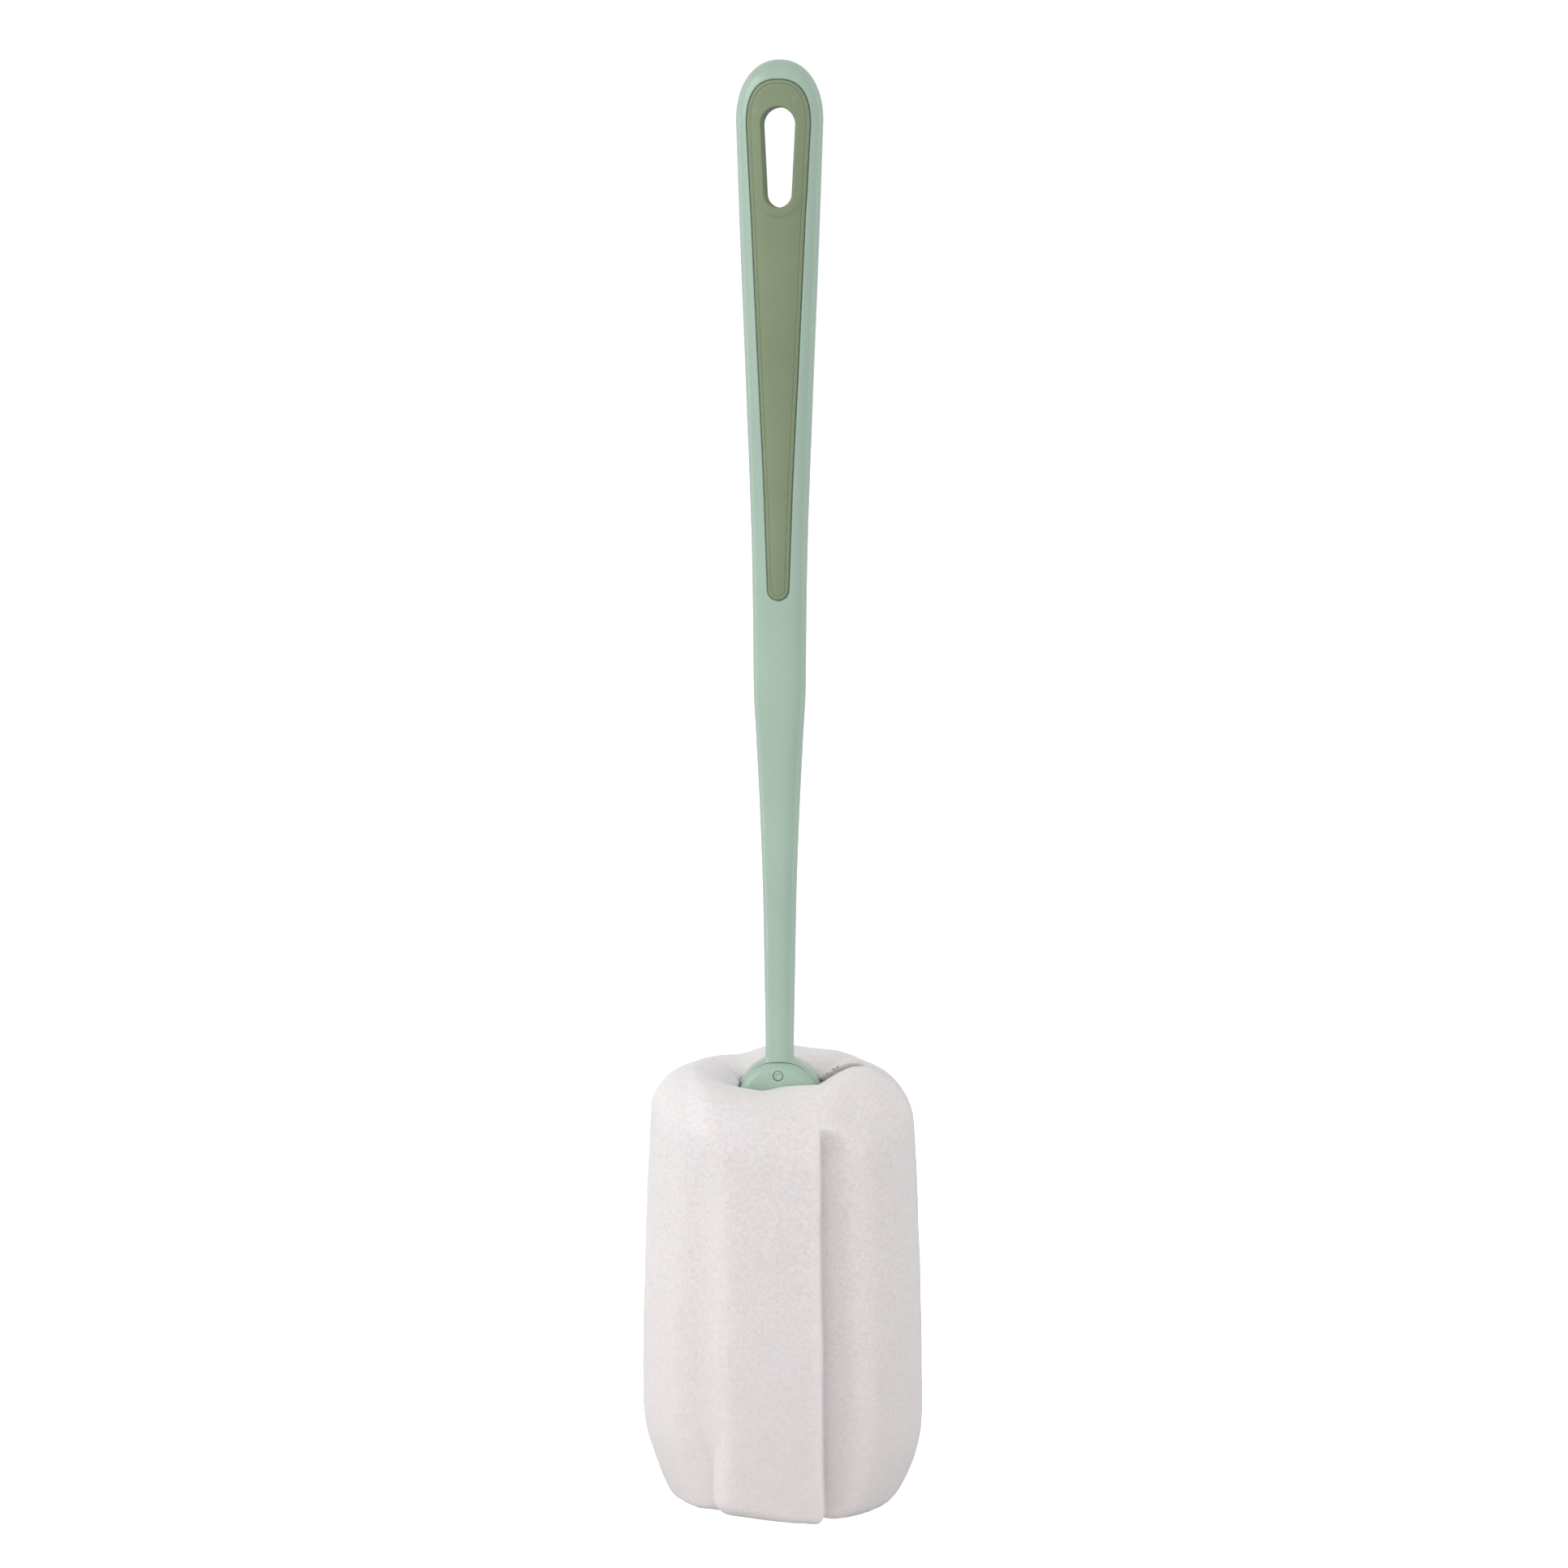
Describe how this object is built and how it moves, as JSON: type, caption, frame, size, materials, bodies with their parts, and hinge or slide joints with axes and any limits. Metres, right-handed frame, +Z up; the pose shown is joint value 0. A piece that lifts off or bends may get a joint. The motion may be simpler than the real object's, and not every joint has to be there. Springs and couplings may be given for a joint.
{
  "type": "bottle brush",
  "caption": "Long-handled sponge brush for cups and bottles: tapering plastic handle with soft grip pads and a hang slot, and a lobed foam head that pulls off a barbed clamp.",
  "frame": {"origin": "upper inside end of the hang slot, where it lies on a hook, on both middle planes of the handle", "axes": "+Z up along the handle towards its hanging end, -Y towards the front with the round clamp disc, +X to the right seen from the front"},
  "size_m": [0.0624, 0.0602, 0.3215],
  "materials": {
    "mint_plastic": "fine satin moulded",
    "sage_soft_grip": "matte soft-touch",
    "white_foam": "fine open-cell foam"
  },
  "bodies": {
    "handle": {"handle_body": "mint_plastic", "soft_grip": "sage_soft_grip", "front_prong": "mint_plastic", "prong_pin": "mint_plastic"},
    "sponge_head": {"sponge_front": "white_foam", "sponge_rear": "white_foam"}
  },
  "joints": [
    {"name": "head_slide", "type": "slide", "parent": "handle", "child": "sponge_head", "axis": [0, 0, -1], "range_m": [0, 0.085]}
  ]
}
